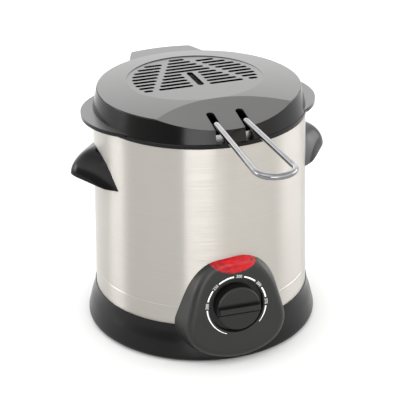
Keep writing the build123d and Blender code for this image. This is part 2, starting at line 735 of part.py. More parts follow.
with BuildPart() as inlet_magnets:
    with BuildSketch(Plane.XZ.offset(-SOCKET_FLOOR)):
        with Locations((-MAGNET_X, INLET_HEIGHT), (MAGNET_X, INLET_HEIGHT)):
            Rectangle(4, 10)
    extrude(amount=-1.6)
finish(inlet_magnets, "inlet_magnets")

PLATE_TOP = BASE_FLANGE_BOTTOM
BLOCK_TOP = PLATE_TOP + BLOCK_HEIGHT
with BuildPart() as terminal_block:
    with BuildSketch(Plane.XY.offset(PLATE_TOP)):
        with Locations((0, BLOCK_Y)):
            Rectangle(BLOCK_LENGTH, BLOCK_WIDTH)
    extrude(amount=BLOCK_HEIGHT)
    fillet(terminal_block.edges().filter_by(Axis.Z), 1.5)
    with BuildSketch(Plane.XY.offset(BLOCK_TOP)):
        with Locations((0, BLOCK_SCREW_Y)):
            with GridLocations(11, 1, 4, 1):
                Circle(1.8)
    extrude(amount=-5, mode=Mode.SUBTRACT)
finish(terminal_block, "terminal_block")

with BuildPart() as thermal_fuse:
    with BuildSketch(Plane.XZ.offset(FUSE_LENGTH / 2)):
        with Locations((FUSE_X, SHIELD_TOP + FUSE_RADIUS)):
            Circle(FUSE_RADIUS)
    extrude(amount=-FUSE_LENGTH)
finish(thermal_fuse, "thermal_fuse")

TERMINAL_TAB_END = panel_plane(CUP_BACK - THERMOSTAT_DEPTH - TERMINAL_TAB_LENGTH)


def tab_end(across, up):
    """End of a thermostat tab, and a point straight behind it where its wire can turn."""
    return [tuple(TERMINAL_TAB_END.from_local_coords((across, up, behind))) for behind in (-14, 0)]


def pin_to_block(side):
    """Route from an inlet pin down to the terminal block, on the side given by a sign."""
    return ((side * PIN_X, PIN_BACK, INLET_HEIGHT), (side * PIN_X, 78, INLET_HEIGHT),
            (side * 5.5, BLOCK_WIRE_Y, 32), (side * 5.5, BLOCK_WIRE_Y, BLOCK_TOP))


WIRE_ROUTES = (
    pin_to_block(-1),
    pin_to_block(1),
    ((-16.5, BLOCK_WIRE_Y, BLOCK_TOP), (-16.5, BLOCK_WIRE_Y, 30), (-30, 0, 26), *tab_end(-9, -7)),
    ((16.5, BLOCK_WIRE_Y, BLOCK_TOP), (16.5, BLOCK_WIRE_Y, 30), (27, 66, 46),
     (ELEMENT_LEG_X, ELEMENT_LEG_Y, 48), (ELEMENT_LEG_X, ELEMENT_LEG_Y, ELEMENT_LEAD_END)),
    ((-ELEMENT_LEG_X, ELEMENT_LEG_Y, ELEMENT_LEAD_END), (-ELEMENT_LEG_X, ELEMENT_LEG_Y, 48),
     (24, 10, 42), *tab_end(9, 7)),
)
with BuildPart() as internal_wires:
    for points in WIRE_ROUTES:
        with BuildLine() as route:
            FilletPolyline(*points, radius=WIRE_BEND)
        with BuildSketch(Plane(origin=route.wire() @ 0, z_dir=route.wire() % 0)):
            Circle(WIRE_RADIUS)
        sweep(path=route.wire())
finish(internal_wires, "internal_wires")

# ------------------------------------------------------------------ removable pot
POT_INNER_RADIUS = POT_RADIUS - POT_WALL
POT_FLOOR = POT_BOTTOM + POT_FLOOR_THICKNESS
POT_INNER_CORNER = POT_CORNER - POT_WALL
with BuildPart() as cooking_pot:
    with BuildSketch(Plane.XZ):
        with BuildLine():
            Line((0, POT_BOTTOM), (POT_RADIUS - POT_CORNER, POT_BOTTOM))
            RadiusArc((POT_RADIUS - POT_CORNER, POT_BOTTOM), (POT_RADIUS, POT_BOTTOM + POT_CORNER),
                      -POT_CORNER)
            Polyline(
                (POT_RADIUS, POT_BOTTOM + POT_CORNER),
                (POT_RADIUS, POT_SHOULDER),
                (POT_RIM_RADIUS, POT_SHOULDER),
                (POT_RIM_RADIUS, POT_RIM_TOP),
                (POT_RIM_RADIUS - POT_WALL, POT_RIM_TOP),
                (POT_RIM_RADIUS - POT_WALL, POT_SHOULDER + POT_WALL),
                (POT_INNER_RADIUS, POT_SHOULDER + POT_WALL),
                (POT_INNER_RADIUS, POT_FLOOR + POT_INNER_CORNER),
            )
            RadiusArc((POT_INNER_RADIUS, POT_FLOOR + POT_INNER_CORNER),
                      (POT_INNER_RADIUS - POT_INNER_CORNER, POT_FLOOR), POT_INNER_CORNER)
            Polyline((POT_INNER_RADIUS - POT_INNER_CORNER, POT_FLOOR), (0, POT_FLOOR), (0, POT_BOTTOM))
        make_face()
    revolve(axis=Axis.Z)
    fillet(cooking_pot.edges().group_by(Axis.Z)[-1], 0.5)
finish(cooking_pot, "cooking_pot")

# ------------------------------------------------------------------ frying basket
with BuildPart() as basket_rim:
    with BuildSketch(Plane.XZ):
        with Locations((BASKET_RIM_CIRCLE, BASKET_RIM_HEIGHT)):
            Circle(BASKET_WIRE_RADIUS)
    revolve(axis=Axis.Z)
finish(basket_rim, "basket_rim", LID_TURN)

MESH_TOP = BASKET_RIM_HEIGHT + 1.0
with BuildPart() as basket_mesh:
    with BuildSketch(Plane.XY.offset(MESH_BOTTOM)):
        Circle(BASKET_RADIUS)
    extrude(amount=MESH_TOP - MESH_BOTTOM)
    fillet(basket_mesh.edges().group_by(Axis.Z)[0], MESH_CORNER)
    offset(amount=-MESH_THICKNESS, openings=basket_mesh.faces().sort_by(Axis.Z)[-1])
finish(basket_mesh, "basket_mesh", LID_TURN)

FRAME_CIRCLE = BASKET_RADIUS + FRAME_WIRE_RADIUS + WIRE_GAP
FRAME_TOP = BASKET_RIM_HEIGHT - BASKET_WIRE_RADIUS + 0.2
FRAME_BOTTOM = MESH_BOTTOM - FRAME_WIRE_RADIUS - WIRE_GAP
with BuildPart() as basket_frame:
    for turn in (45, 135):
        across = Plane.XZ.rotated((0, 0, turn))
        with BuildLine(across) as route:
            FilletPolyline(
                (FRAME_CIRCLE, FRAME_TOP),
                (FRAME_CIRCLE, FRAME_BOTTOM),
                (-FRAME_CIRCLE, FRAME_BOTTOM),
                (-FRAME_CIRCLE, FRAME_TOP),
                radius=MESH_CORNER,
            )
        with BuildSketch(Plane(origin=route.wire() @ 0, z_dir=route.wire() % 0)):
            Circle(FRAME_WIRE_RADIUS)
        sweep(path=route.wire())
    add(basket_rim.part, mode=Mode.SUBTRACT)
finish(basket_frame, "basket_frame", LID_TURN)

EYE_ROOT_Y = -70.0
with BuildPart() as basket_bracket:
    with BuildSketch(Plane.XY.offset(BAND_BOTTOM)):
        Circle(BASKET_RADIUS + BAND_THICKNESS)
        Circle(BASKET_RADIUS + WIRE_GAP, mode=Mode.SUBTRACT)
        with Locations((0, -BASKET_RADIUS)):
            Rectangle(BAND_LENGTH, 20, mode=Mode.INTERSECT)
    extrude(amount=BAND_TOP - BAND_BOTTOM)
    with BuildSketch(Plane.YZ.offset(EYE_CENTRE_X - EYE_WIDTH / 2)):
        with Locations((PIVOT_Y, PIVOT_Z)):
            Circle(EYE_RADIUS)
        with BuildLine():
            Polyline((PIVOT_Y, PIVOT_Z + 2), (EYE_ROOT_Y, PIVOT_Z - 2), (EYE_ROOT_Y, PIVOT_Z - 12),
                     (PIVOT_Y, PIVOT_Z - 3), close=True)
        make_face()
        with Locations((PIVOT_Y, PIVOT_Z)):
            Circle(HANDLE_WIRE_RADIUS + WIRE_GAP, mode=Mode.SUBTRACT)
    extrude(amount=EYE_WIDTH)
    mirror(about=Plane.YZ)
    with BuildSketch(Plane.XY.offset(BAND_BOTTOM - 5)):
        Circle(BASKET_RADIUS + WIRE_GAP)
    extrude(amount=40, mode=Mode.SUBTRACT)
finish(basket_bracket, "basket_bracket", LID_TURN)

with BuildPart() as basket_handle:
    with BuildLine() as route:
        FilletPolyline(
            (HANDLE_STUB_X, PIVOT_Y, PIVOT_Z),
            (HANDLE_LEG_X, PIVOT_Y, PIVOT_Z),
            (HANDLE_LEG_X, PIVOT_Y, HANDLE_TOP),
            (HANDLE_LOOP_X, HANDLE_LOOP_Y, HANDLE_LOOP_Z),
            (-HANDLE_LOOP_X, HANDLE_LOOP_Y, HANDLE_LOOP_Z),
            (-HANDLE_LEG_X, PIVOT_Y, HANDLE_TOP),
            (-HANDLE_LEG_X, PIVOT_Y, PIVOT_Z),
            (-HANDLE_STUB_X, PIVOT_Y, PIVOT_Z),
            radius=[4.5, 7.0, 17.3, 17.3, 7.0, 4.5],
        )
    with BuildSketch(Plane(origin=route.wire() @ 0, z_dir=route.wire() % 0)):
        Circle(HANDLE_WIRE_RADIUS)
    sweep(path=route.wire())
finish(basket_handle, "basket_handle", LID_TURN)

# ------------------------------------------------------------------ lid


def lid_dome(drop, edge_radius, edge_height):
    """Shallow crown of the lid from its axis out to its edge, lowered by drop."""
    crown = LID_CROWN - drop
    return ThreePointArc((0, crown), (edge_radius / 2, crown - (crown - edge_height) / 4),
                         (edge_radius, edge_height))


def lid_body(inset):
    """Solid bounded by the lid's outside, or by its inside when inset is the wall thickness."""
    bottom = LID_BOTTOM - inset
    skirt = LID_SKIRT_RADIUS - inset
    edge_radius = LID_EDGE_RADIUS - inset
    edge_height = LID_EDGE_HEIGHT - inset
    with BuildPart() as body:
        with BuildSketch(Plane.XZ) as profile:
            with BuildLine():
                lid_dome(inset, edge_radius, edge_height)
                Polyline(
                    (edge_radius, edge_height),
                    (skirt, bottom),
                    (0, bottom),
                    (0, LID_CROWN - inset),
                )
            make_face()
            fillet(profile.vertices().sort_by_distance((edge_radius, edge_height, 0))[0], 1.2)
        revolve(axis=Axis.Z)
        with BuildSketch(Plane(origin=(0, FACET_AXIS_Y, 0), x_dir=(1, 0, 0), z_dir=(0, -1, 0))):
            with BuildLine():
                Polyline(
                    (FACET_RADIUS + 40, FACET_HEIGHT - inset + 40 * FACET_SLOPE),
                    (FACET_RADIUS - 100, FACET_HEIGHT - inset - 100 * FACET_SLOPE),
                    (FACET_RADIUS - 100, FACET_HEIGHT + 60),
                    (FACET_RADIUS + 40, FACET_HEIGHT + 60),
                    close=True,
                )
            make_face()
        revolve(axis=Axis((0, FACET_AXIS_Y, 0), (0, 0, 1)), mode=Mode.SUBTRACT)
        floor = Plane(origin=(0, RECESS_CENTRE_Y, RECESS_FLOOR - inset), x_dir=(1, 0, 0),
                      z_dir=(0, -RECESS_TILT, 1))
        with BuildSketch(floor):
            Circle(RECESS_RADIUS + inset)
        extrude(amount=4, taper=RECESS_WALL_TAPER, mode=Mode.SUBTRACT)
    return body.part


def vent_slots():
    """Centre and length of every slot in the grille, row by row from the back."""
    for row in range(VENT_COUNT):
        drop = row * VENT_PITCH
        y = VENT_FIRST_Y - drop
        middle_end = VENT_FAN_HALF + VENT_FAN_SLOPE * drop
        if row > 4:
            yield (VENT_SPLIT_HALF + middle_end) / 2, y, middle_end - VENT_SPLIT_HALF
            yield -(VENT_SPLIT_HALF + middle_end) / 2, y, middle_end - VENT_SPLIT_HALF
        else:
            yield 0, y, 2 * middle_end
        if row > 0:
            side_start = middle_end + VENT_RIB
            side_end = (VENT_FIELD_RADIUS**2 - (y - VENT_FIELD_CENTRE_Y) ** 2) ** 0.5
            yield (side_start + side_end) / 2, y, side_end - side_start
            yield -(side_start + side_end) / 2, y, side_end - side_start


lid_outside = lid_body(0)
lid_inside = lid_body(LID_THICKNESS)

with BuildPart() as collar:
    with BuildSketch(Plane.XY.offset(COLLAR_BOTTOM)):
        with Locations((0, RECESS_CENTRE_Y)):
            Circle(COLLAR_RADIUS)
            Circle(COLLAR_RADIUS - COLLAR_WALL, mode=Mode.SUBTRACT)
    extrude(amount=20)
    add(lid_inside, mode=Mode.INTERSECT)

with BuildPart() as ears:
    with BuildSketch(Plane.XY.offset(EAR_BOTTOM)):
        with Locations((-EAR_CENTRE_X, 0), (EAR_CENTRE_X, 0)):
            Circle(EAR_RADIUS)
        Circle(RING_OUTER_RADIUS + 0.5, mode=Mode.SUBTRACT)
    extrude(amount=LID_BOTTOM - EAR_BOTTOM)
    with BuildSketch(Plane.XY.offset(LID_BOTTOM)):
        with Locations((-EAR_CENTRE_X, 0), (EAR_CENTRE_X, 0)):
            Circle(EAR_RADIUS)
        Circle(LID_SKIRT_RADIUS - 2, mode=Mode.SUBTRACT)
    extrude(amount=EAR_TOP - LID_BOTTOM)

with BuildPart() as tab:
    with BuildSketch(Plane.XY.offset(TAB_TOP - TAB_THICKNESS)) as tab_plan:
        Circle(TAB_RADIUS)
        with BuildLine():
            Polyline(
                (-TAB_ROOT_HALF, 90),
                (TAB_ROOT_HALF, 90),
                (TAB_END_HALF, 140),
                (-TAB_END_HALF, 140),
                close=True,
            )
        make_face(mode=Mode.INTERSECT)
        fillet(tab_plan.vertices().group_by(Axis.Y)[-1], TAB_CORNER)
    extrude(amount=TAB_THICKNESS)
    fillet(tab.edges().group_by(Axis.Z)[-1], 1.0)
    add(lid_inside, mode=Mode.SUBTRACT)

with BuildPart() as lid:
    add(lid_outside)
    add(ears.part)
    add(tab.part)
    add(lid_inside, mode=Mode.SUBTRACT)
    add(collar.part)
    with BuildSketch(Plane.XY.offset(LID_BOTTOM - 5)):
        for x, y, length in vent_slots():
            with Locations((x, y)):
                SlotOverall(length, VENT_WIDTH)
        with Locations((0, CROSS_SLOT_Y)):
            SlotOverall(CROSS_SLOT_LENGTH, CROSS_SLOT_WIDTH, rotation=90)
    extrude(amount=40, mode=Mode.SUBTRACT)
    with BuildSketch(Plane.XY.offset(LID_BOTTOM - 5)):
        with Locations((-HANDLE_LEG_X, 0), (HANDLE_LEG_X, 0)):
            with Locations((0, SLOT_END_Y - SLOT_WIDTH / 2)):
                Circle(SLOT_WIDTH / 2)
            with Locations((0, SLOT_END_Y - SLOT_WIDTH / 2 - 25)):
                Rectangle(SLOT_WIDTH, 50)
    extrude(amount=40, mode=Mode.SUBTRACT)
finish(lid, "lid", LID_TURN)

with BuildPart() as lid_filter:
    with BuildSketch(Plane.XY.offset(COLLAR_BOTTOM + COVER_THICKNESS + 0.1)):
        with Locations((0, RECESS_CENTRE_Y)):
            Circle(FILTER_RADIUS)
    extrude(amount=FILTER_THICKNESS)
finish(lid_filter, "lid_filter", LID_TURN)

with BuildPart() as filter_cover:
    with BuildSketch(Plane.XY.offset(COLLAR_BOTTOM)):
        with Locations((0, RECESS_CENTRE_Y)):
            Circle(FILTER_RADIUS + 0.2)
            for ring in COVER_HOLE_RINGS:
                with PolarLocations(ring, ring // 3 + 1):
                    Circle(COVER_HOLE_RADIUS, mode=Mode.SUBTRACT)
    extrude(amount=COVER_THICKNESS)
finish(filter_cover, "filter_cover", LID_TURN)
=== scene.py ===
import json
from math import cos, pi, radians, sin

import bmesh
import bpy
from mathutils import Matrix, Vector


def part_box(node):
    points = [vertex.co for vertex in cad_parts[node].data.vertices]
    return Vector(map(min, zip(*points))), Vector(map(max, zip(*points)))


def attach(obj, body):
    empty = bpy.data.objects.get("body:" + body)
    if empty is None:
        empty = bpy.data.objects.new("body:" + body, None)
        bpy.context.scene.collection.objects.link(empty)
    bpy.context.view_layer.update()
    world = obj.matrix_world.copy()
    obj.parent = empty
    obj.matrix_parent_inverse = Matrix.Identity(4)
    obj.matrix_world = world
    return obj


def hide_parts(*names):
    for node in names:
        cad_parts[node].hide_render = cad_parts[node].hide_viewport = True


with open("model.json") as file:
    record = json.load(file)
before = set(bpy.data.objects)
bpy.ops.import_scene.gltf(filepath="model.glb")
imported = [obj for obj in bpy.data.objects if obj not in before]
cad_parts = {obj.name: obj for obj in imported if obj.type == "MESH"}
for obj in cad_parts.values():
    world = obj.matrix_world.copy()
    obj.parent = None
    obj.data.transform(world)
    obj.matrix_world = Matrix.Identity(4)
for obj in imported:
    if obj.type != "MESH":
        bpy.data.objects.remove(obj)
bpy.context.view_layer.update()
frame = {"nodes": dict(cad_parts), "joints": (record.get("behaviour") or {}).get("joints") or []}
nodes = frame["nodes"]
joints = {joint["name"]: joint for joint in frame["joints"]}

MM = 0.001

# ------------------------------------------------------------------ camera
CAMERA_TARGET = Vector((0, 0, 0.125))
CAMERA_AZIMUTH = radians(-16.8)
CAMERA_ELEVATION = radians(25.0)
CAMERA_DISTANCE = 1.464
CAMERA_ROLL = radians(-0.67)
CAMERA_LENS = 130.6
CAMERA_SENSOR = 36
CAMERA_SHIFT = -0.0094


def make_camera():
    """Long lens, a little to the left of the front and looking down."""
    level = cos(CAMERA_ELEVATION)
    back = Vector((sin(CAMERA_AZIMUTH) * level, -cos(CAMERA_AZIMUTH) * level, sin(CAMERA_ELEVATION)))
    right = Vector((cos(CAMERA_AZIMUTH), sin(CAMERA_AZIMUTH), 0))
    up = back.cross(right)
    across = cos(CAMERA_ROLL) * right + sin(CAMERA_ROLL) * up
    upright = back.cross(across)
    turn = Matrix((across, upright, back)).transposed().to_4x4()
    data = bpy.data.cameras.new("camera")
    data.lens = CAMERA_LENS
    data.sensor_width = CAMERA_SENSOR
    data.shift_y = CAMERA_SHIFT
    camera = bpy.data.objects.new("camera", data)
    camera.matrix_world = Matrix.Translation(CAMERA_TARGET + back * CAMERA_DISTANCE) @ turn
    bpy.context.scene.collection.objects.link(camera)
    bpy.context.scene.camera = camera


# ------------------------------------------------------------------ studio
SKY_STRENGTH = 8.0
# Low ring: bearing from the front in degrees, positive towards +X, then brightness share, then lean to beige
SKY_RING = (
    (-180, 0.38, 0), (-150, 0.42, 0), (-126, 0.26, 0), (-121, 1.0, 0), (-107, 1.0, 0), (-97, 0.1, 0.2),
    (-33, 0.0, 0.3), (-31.5, 1.0, 0), (-10, 1.0, 0), (10, 0.4, 0.15), (68, 0.3, 0.15), (84, 0.9, 0),
    (108, 0.85, 0), (120, 0.2, 0), (150, 0.35, 0), (180, 0.38, 0),
)
# Degrees above the horizon, and brightness share there
SKY_RISE = ((0, 0.62), (12, 1.0), (28, 0.9), (50, 0.46), (70, 0.5), (90, 0.5))
SKY_OVERHEAD = 0.34
# The ring ends this many degrees up, and turns into the even overhead over this many more
RING_TOP = 14
RING_BLUR = 6

KEY_SPOT = (-1.1, -0.6, 1.9)
KEY_AIM = (0, 0, 0.1)
KEY_SIZE = 1.4
KEY_POWER = 6
FLOOR_REACH = 6.0


def grey(level, warm=0.0):
    """Neutral colour, or one leaning to beige."""
    return (level, level * (1 - 0.35 * warm), level * (1 - warm), 1)


def set_ramp(ramp, stops):
    """Give a colour ramp these (place, colour) stops."""
    while len(ramp.elements) < len(stops):
        ramp.elements.new(1.0)
    for element, (place, colour) in zip(ramp.elements, stops):
        element.position = place
        element.color = colour


def make_sky():
    """Soft studio surroundings: bright and dim stretches in a low ring, and an even grey overhead."""
    world = bpy.data.worlds.new("studio")
    world.use_nodes = True
    bpy.context.scene.world = world
    tree = world.node_tree
    tree.nodes.clear()
    out = tree.nodes.new("ShaderNodeOutputWorld")
    light = tree.nodes.new("ShaderNodeBackground")
    coords = tree.nodes.new("ShaderNodeTexCoord")
    parts = tree.nodes.new("ShaderNodeSeparateXYZ")
    flip = tree.nodes.new("ShaderNodeMath")
    flip.operation = "MULTIPLY"
    flip.inputs[1].default_value = -1
    bearing = tree.nodes.new("ShaderNodeMath")
    bearing.operation = "ARCTAN2"
    share = tree.nodes.new("ShaderNodeMapRange")
    share.inputs["From Min"].default_value = -pi
    share.inputs["From Max"].default_value = pi
    ring = tree.nodes.new("ShaderNodeValToRGB")
    rise = tree.nodes.new("ShaderNodeValToRGB")
    height = tree.nodes.new("ShaderNodeMapRange")
    height.inputs["From Min"].default_value = sin(radians(RING_TOP))
    height.inputs["From Max"].default_value = sin(radians(RING_TOP + RING_BLUR))
    even = tree.nodes.new("ShaderNodeMix")
    even.data_type = "RGBA"
    even.inputs["B"].default_value = grey(SKY_OVERHEAD)
    both = tree.nodes.new("ShaderNodeMix")
    both.data_type = "RGBA"
    both.blend_type = "MULTIPLY"
    both.inputs["Factor"].default_value = 1
    link = tree.links.new
    link(coords.outputs["Generated"], parts.inputs[0])
    link(parts.outputs["Y"], flip.inputs[0])
    link(parts.outputs["X"], bearing.inputs[0])
    link(flip.outputs[0], bearing.inputs[1])
    link(bearing.outputs[0], share.inputs["Value"])
    link(share.outputs[0], ring.inputs["Fac"])
    link(parts.outputs["Z"], rise.inputs["Fac"])
    link(parts.outputs["Z"], height.inputs["Value"])
    link(height.outputs[0], even.inputs["Factor"])
    link(ring.outputs["Color"], even.inputs["A"])
    link(even.outputs["Result"], both.inputs["A"])
    link(rise.outputs["Color"], both.inputs["B"])
    link(both.outputs["Result"], light.inputs["Color"])
    link(light.outputs[0], out.inputs["Surface"])
    light.inputs["Strength"].default_value = SKY_STRENGTH
    set_ramp(ring.color_ramp, [((bearing_deg + 180) / 360, grey(level, warm))
                               for bearing_deg, level, warm in SKY_RING])
    set_ramp(rise.color_ramp, [(sin(radians(degrees)), grey(level)) for degrees, level in SKY_RISE])


def make_lamp():
    """One soft square light, high on the left."""
    data = bpy.data.lights.new("key", "AREA")
    data.shape = "RECTANGLE"
    data.size = KEY_SIZE
    data.size_y = KEY_SIZE
    data.energy = KEY_POWER
    lamp = bpy.data.objects.new("key", data)
    lamp.location = KEY_SPOT
    lamp.rotation_euler = (Vector(KEY_AIM) - Vector(KEY_SPOT)).to_track_quat("-Z", "Y").to_euler()
    bpy.context.scene.collection.objects.link(lamp)


def make_floor():
    """Wide pale floor."""
    mesh = bpy.data.meshes.new("floor")
    shape = bmesh.new()
    bmesh.ops.create_grid(shape, x_segments=4, y_segments=4, size=FLOOR_REACH)
    shape.to_mesh(mesh)
    shape.free()
    floor = bpy.data.objects.new("floor", mesh)
    bpy.context.scene.collection.objects.link(floor)
    paint = Paint("floor_paper", (0.71, 0.71, 0.71), 0.9)
    paint.vary_colour(3.0, 0.98, 1.0)
    mesh.materials.append(paint.material)


# ------------------------------------------------------------------ materials
# How far the brushing tips the steel's surface up and down
STEEL_SPREAD = 0.12
# Upward share of the surface's normal: the lid is skirt below the first, and top above the second; towards
# the top its colour is lightened as a painted sheen
LID_SKIRT = 0.82
LID_TOP = 0.955


class Paint:
    """A Principled material with a few procedural layers."""

    def __init__(self, name, colour, roughness, metallic=0.0, **constants):
        self.material = bpy.data.materials.new(name)
        self.material.use_nodes = True
        self.tree = self.material.node_tree
        self.shader = self.tree.nodes["Principled BSDF"]
        self.colour = colour
        self.shader.inputs["Base Color"].default_value = (*colour, 1)
        self.shader.inputs["Roughness"].default_value = roughness
        self.shader.inputs["Metallic"].default_value = metallic
        for key, value in constants.items():
            self.shader.inputs[key.replace("_", " ")].default_value = value
        self.coords = self.tree.nodes.new("ShaderNodeTexCoord")
        self.bump = None

    def node(self, kind):
        return self.tree.nodes.new("ShaderNode" + kind)

    def link(self, a, b):
        self.tree.links.new(a, b)

    def noise(self, scale, stretch=(1, 1, 1), detail=3.0):
        """Noise in the object's own metres, pulled out along an axis by a smaller stretch."""
        mapping = self.node("Mapping")
        mapping.inputs["Scale"].default_value = stretch
        texture = self.node("TexNoise")
        texture.inputs["Scale"].default_value = scale
        texture.inputs["Detail"].default_value = detail
        self.link(self.coords.outputs["Object"], mapping.inputs["Vector"])
        self.link(mapping.outputs[0], texture.inputs["Vector"])
        return texture.outputs["Fac"]

    def spread(self, value, low, high):
        """Map the middle of a noise's range to low..high."""
        ranged = self.node("MapRange")
        ranged.inputs["From Min"].default_value = 0.3
        ranged.inputs["From Max"].default_value = 0.7
        ranged.inputs["To Min"].default_value = low
        ranged.inputs["To Max"].default_value = high
        self.link(value, ranged.inputs["Value"])
        return ranged.outputs[0]

    def vary_colour(self, scale, low=0.8, high=1.2, stretch=(1, 1, 1)):
        """Let the colour wander between two shares of itself."""
        ramp = self.node("ValToRGB")
        set_ramp(ramp.color_ramp, [(0.3, (*[c * low for c in self.colour], 1)),
                                   (0.7, (*[min(1, c * high) for c in self.colour], 1))])
        self.link(self.noise(scale, stretch), ramp.inputs["Fac"])
        self.link(ramp.outputs["Color"], self.shader.inputs["Base Color"])

    def vary_roughness(self, scale, low, high, stretch=(1, 1, 1)):
        """Let the roughness wander between two values."""
        self.link(self.spread(self.noise(scale, stretch), low, high), self.shader.inputs["Roughness"])

    def add_bump(self, value, depth, strength=1.0):
        """Stack one more height, in metres, on the surface."""
        bump = self.node("Bump")
        bump.inputs["Distance"].default_value = depth
        bump.inputs["Strength"].default_value = strength
        self.link(value, bump.inputs["Height"])
        if self.bump:
            self.link(self.bump.outputs[0], bump.inputs["Normal"])
        self.link(bump.outputs[0], self.shader.inputs["Normal"])
        self.bump = bump

    def coat_node(self, *names):
        """Put the material on CAD nodes."""
        for name in names:
            coat(nodes[name], self)


def coat(piece, paint):
    """Give a piece this one material."""
    piece.data.materials.clear()
    piece.data.materials.append(paint.material)


def plastic(name, colour, low, high, grain=2200, depth=0.00002, mottle=(25, 0.85, 1.15), **constants):
    """Moulded plastic: fine grain, slightly uneven sheen and colour."""
    paint = Paint(name, colour, (low + high) / 2, **constants)
    paint.vary_colour(*mottle)
    paint.vary_roughness(60, low, high)
    paint.add_bump(paint.noise(grain, detail=2), depth)
    return paint


def metal(name, colour, low, high, streak=(1, 1, 1), scale=300, depth=0.00001, **constants):
    """Bare metal: uneven sheen, with streaks where it was drawn, turned or brushed."""
    paint = Paint(name, colour, (low + high) / 2, 1.0, **constants)
    paint.vary_colour(scale, 0.9, 1.06, streak)
    paint.vary_roughness(scale * 0.8, low, high, streak)
    paint.add_bump(paint.noise(scale * 1.5, streak), depth)
    return paint


def brushed_steel():
    """Steel brushed round the drum: fine level streaks that spread a highlight up and down, not sideways."""
    paint = Paint("shell_steel", (0.425, 0.406, 0.378), 0.33, 1.0, Anisotropic=1.0, Anisotropic_Rotation=0.25)
    streak = (0.004, 0.004, 1)
    paint.vary_colour(3200, 0.96, 1.03, streak)
    paint.vary_roughness(2400, 0.315, 0.345, streak)
    surface = paint.node("NewGeometry")
    lean = paint.node("CombineXYZ")
    tilted = paint.node("VectorMath")
    level = paint.node("VectorMath")
    level.operation = "NORMALIZE"
    paint.link(paint.spread(paint.noise(5200, streak), -STEEL_SPREAD, STEEL_SPREAD), lean.inputs["Z"])
    paint.link(surface.outputs["Normal"], tilted.inputs[0])
    paint.link(lean.outputs[0], tilted.inputs[1])
    paint.link(tilted.outputs[0], level.inputs[0])
    paint.link(level.outputs[0], paint.shader.inputs["Normal"])
    tangent = paint.node("Tangent")
    tangent.direction_type = "RADIAL"
    tangent.axis = "Z"
    paint.link(tangent.outputs[0], paint.shader.inputs["Tangent"])
    return paint


def lid_plastic():
    """Black plastic with a satin top and a polished skirt; the top's colour is also lightened where it faces
    up, a painted sheen.
    """
    paint = Paint("lid_plastic", (0.005, 0.005, 0.005), 0.14)
    surface = paint.node("NewGeometry")
    parts = paint.node("SeparateXYZ")
    paint.link(surface.outputs["Normal"], parts.inputs[0])
    # Painted sheen: the colour lightens from the near-black skirt to a grey top as the surface turns to face
    # up
    ramp = paint.node("ValToRGB")
    set_ramp(ramp.color_ramp, [(LID_SKIRT, (0.004, 0.004, 0.0042, 1)), (LID_TOP, (0.045, 0.0445, 0.0432, 1))])
    paint.link(parts.outputs["Z"], ramp.inputs["Fac"])
    paint.link(ramp.outputs["Color"], paint.shader.inputs["Base Color"])
    for socket, skirt, top in (("Roughness", 0.16, 0.34), ("Specular IOR Level", 0.2, 0.55)):
        ranged = paint.node("MapRange")
        ranged.inputs["From Min"].default_value = LID_SKIRT
        ranged.inputs["From Max"].default_value = LID_TOP
        ranged.inputs["To Min"].default_value = skirt
        ranged.inputs["To Max"].default_value = top
        paint.link(parts.outputs["Z"], ranged.inputs["Value"])
        paint.link(ranged.outputs[0], paint.shader.inputs[socket])
    paint.add_bump(paint.noise(1800, detail=2), 0.000012)
    return paint


def coat_casing():
    """Moulded outside of the fryer and its steel drum."""
    plastic("black_plastic", (0.003, 0.003, 0.0034), 0.22, 0.27, Specular_IOR_Level=0.2).coat_node(
        "base_housing", "power_inlet")
    plastic("plate_plastic", (0.02, 0.02, 0.021), 0.45, 0.55, grain=900, depth=0.00006).coat_node(
        "bottom_plate")
    plastic("gloss_black", (0.003, 0.003, 0.0034), 0.11, 0.15, depth=0.000006,
            Specular_IOR_Level=0.17).coat_node("right_handle", "left_handle", "rim_ring")
    lid_plastic().coat_node("lid")
    plastic("panel_plastic", (0.0095, 0.0102, 0.0094), 0.32, 0.38, depth=0.00003,
            Specular_IOR_Level=0.32).coat_node("control_panel")
    plastic("knob_plastic", (0.005, 0.0055, 0.005), 0.34, 0.4, depth=0.00003,
            Specular_IOR_Level=0.3).coat_node("control_knob")
    plastic("cover_plastic", (0.03, 0.03, 0.03), 0.4, 0.5).coat_node("filter_cover")
    brushed_steel().coat_node("outer_shell")


def coat_metalwork():
    """Bare metal: fasteners, heater, pot and basket."""
    metal("plain_steel", (0.5, 0.5, 0.51), 0.3, 0.42).coat_node(
        "bottom_screws", "panel_screws", "handle_screws", "thermostat_nut", "thermostat_shaft", "knob_clip",
        "heat_shield", "shield_spacers", "heating_element")
    metal("cast_aluminium", (0.4, 0.4, 0.4), 0.4, 0.55, scale=180, depth=0.00004).coat_node(
        "heater_plate", "inner_well")
    metal("pot_aluminium", (0.36, 0.36, 0.362), 0.26, 0.34, streak=(0.02, 0.02, 1), scale=1500).coat_node(
        "cooking_pot")
    metal("wire_chrome", (0.2, 0.2, 0.206), 0.04, 0.07, scale=120, depth=0.000004).coat_node(
        "basket_rim", "basket_frame", "basket_bracket", "basket_handle", "basket_mesh")
    metal("pin_brass", (0.72, 0.58, 0.28), 0.2, 0.3).coat_node("inlet_pins")
    metal("fuse_silver", (0.7, 0.7, 0.72), 0.25, 0.35).coat_node("thermal_fuse")


